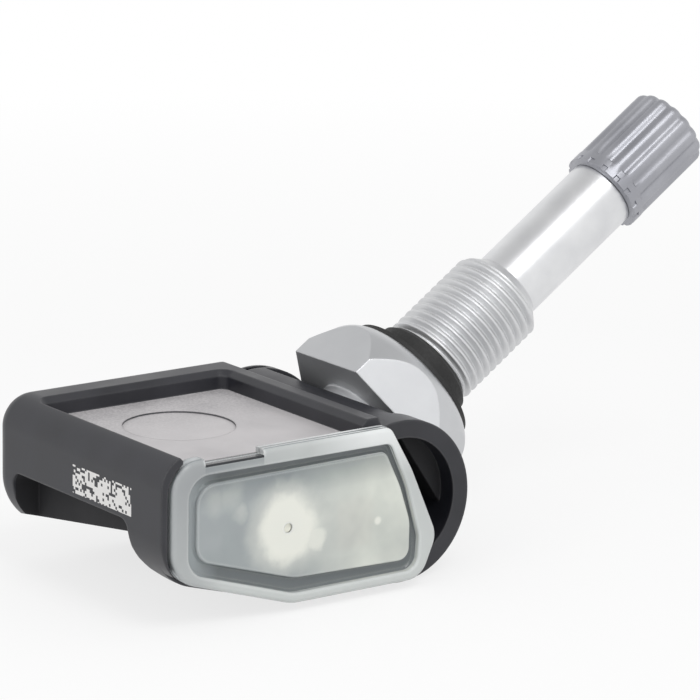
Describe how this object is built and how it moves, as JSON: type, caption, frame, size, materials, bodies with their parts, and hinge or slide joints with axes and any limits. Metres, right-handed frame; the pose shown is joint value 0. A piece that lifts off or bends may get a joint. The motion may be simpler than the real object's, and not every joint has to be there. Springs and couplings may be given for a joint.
{
  "type": "tyre pressure sensor",
  "caption": "Clamp-in tyre pressure sensor: black housing with a milky end cover on an aluminium valve stem with hex flange, rubber seal, thread and ribbed cap.",
  "frame": {"origin": "middle of the stem's thread, on the stem's axis, where the wheel rim and its nut hold the sensor", "axes": "+X out of the end cover, +Y from the housing towards the valve, +Z out of the housing's recessed top; the stem's axis rises 34.5 degrees from +Y towards +Z"},
  "size_m": [0.0319, 0.0823, 0.0454],
  "materials": {
    "housing_plastic": "satin moulded black",
    "cover_plastic": "milky translucent",
    "white_seal": "matt",
    "coil_plastic": "matt",
    "copper": "bright copper",
    "board": "solder mask",
    "chip_black": "matt",
    "ceramic": "matt",
    "steel": "bright",
    "aluminium": "turned",
    "brass": "turned",
    "black_rubber": "matt",
    "red_rubber": "matt",
    "cap_plastic": "satin grey"
  },
  "bodies": {
    "sensor": {"housing": "housing_plastic", "end_cover": "cover_plastic", "port_seal": "white_seal", "lf_coil": "coil_plastic", "coil_winding": "copper", "circuit_board": "board", "sensor_chip": "chip_black", "microcontroller": "chip_black", "crystal": "steel", "chip_capacitors": "ceramic", "rf_antenna": "copper", "coin_cell": "steel", "battery_tab_plus": "steel", "battery_tab_minus": "steel", "valve_stem": "aluminium", "valve_screw": "steel", "screw_insert": "brass", "rubber_seal": "black_rubber", "core_barrel": "brass", "core_spring": "steel", "core_seal": "red_rubber"},
    "cap_disc": {"cap_seal": "black_rubber"},
    "cap": {"valve_cap": "cap_plastic"},
    "core": {"core_pin": "brass", "pin_seal": "red_rubber"}
  },
  "joints": [
    {"name": "cap_lift", "type": "slide", "parent": "sensor", "child": "cap_disc", "axis": [0, 0.8241, 0.5664], "range_m": [0, 0.00476]},
    {"name": "cap_turn", "type": "hinge", "parent": "cap_disc", "child": "cap", "pos_m": [0, 0.02394, 0.01645], "axis": [0, 0.8241, 0.5664], "range_deg": [0, 2161]},
    {"name": "pin_press", "type": "slide", "parent": "sensor", "child": "core", "axis": [0, -0.8241, -0.5664], "range_m": [0, 0.0015], "stiffness_N_per_m": 800, "deforming": ["core_spring"]}
  ],
  "couplings": [
    {"joint": "cap_turn", "follows": "cap_lift", "rad_per_m": 7913.3}
  ]
}
